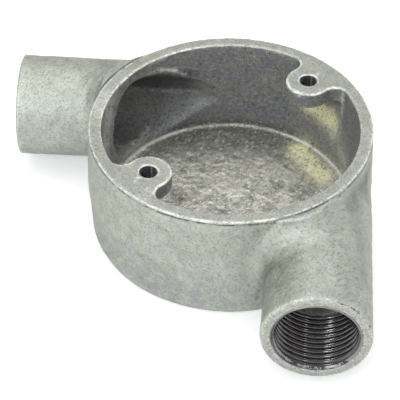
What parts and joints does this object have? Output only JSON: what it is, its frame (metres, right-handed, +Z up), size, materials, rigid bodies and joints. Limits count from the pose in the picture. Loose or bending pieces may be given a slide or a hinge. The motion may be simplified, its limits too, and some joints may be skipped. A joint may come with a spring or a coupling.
{
  "type": "conduit body",
  "caption": "Round cast conduit box, open on top, with two tangential female-threaded spouts at right angles and two drilled lugs for a cover.",
  "frame": {"origin": "centre of the flat base, on the bowl's axis", "axes": "+Z up along the bowl's axis, out of its open top; one spout leaves towards -X, the other towards -Y"},
  "size_m": [0.0881, 0.0881, 0.0295],
  "materials": {
    "galvanised_iron": "hot-dip zinc, semi-matt, mottled"
  },
  "bodies": {
    "root": {"box_casting": "galvanised_iron"}
  },
  "joints": []
}
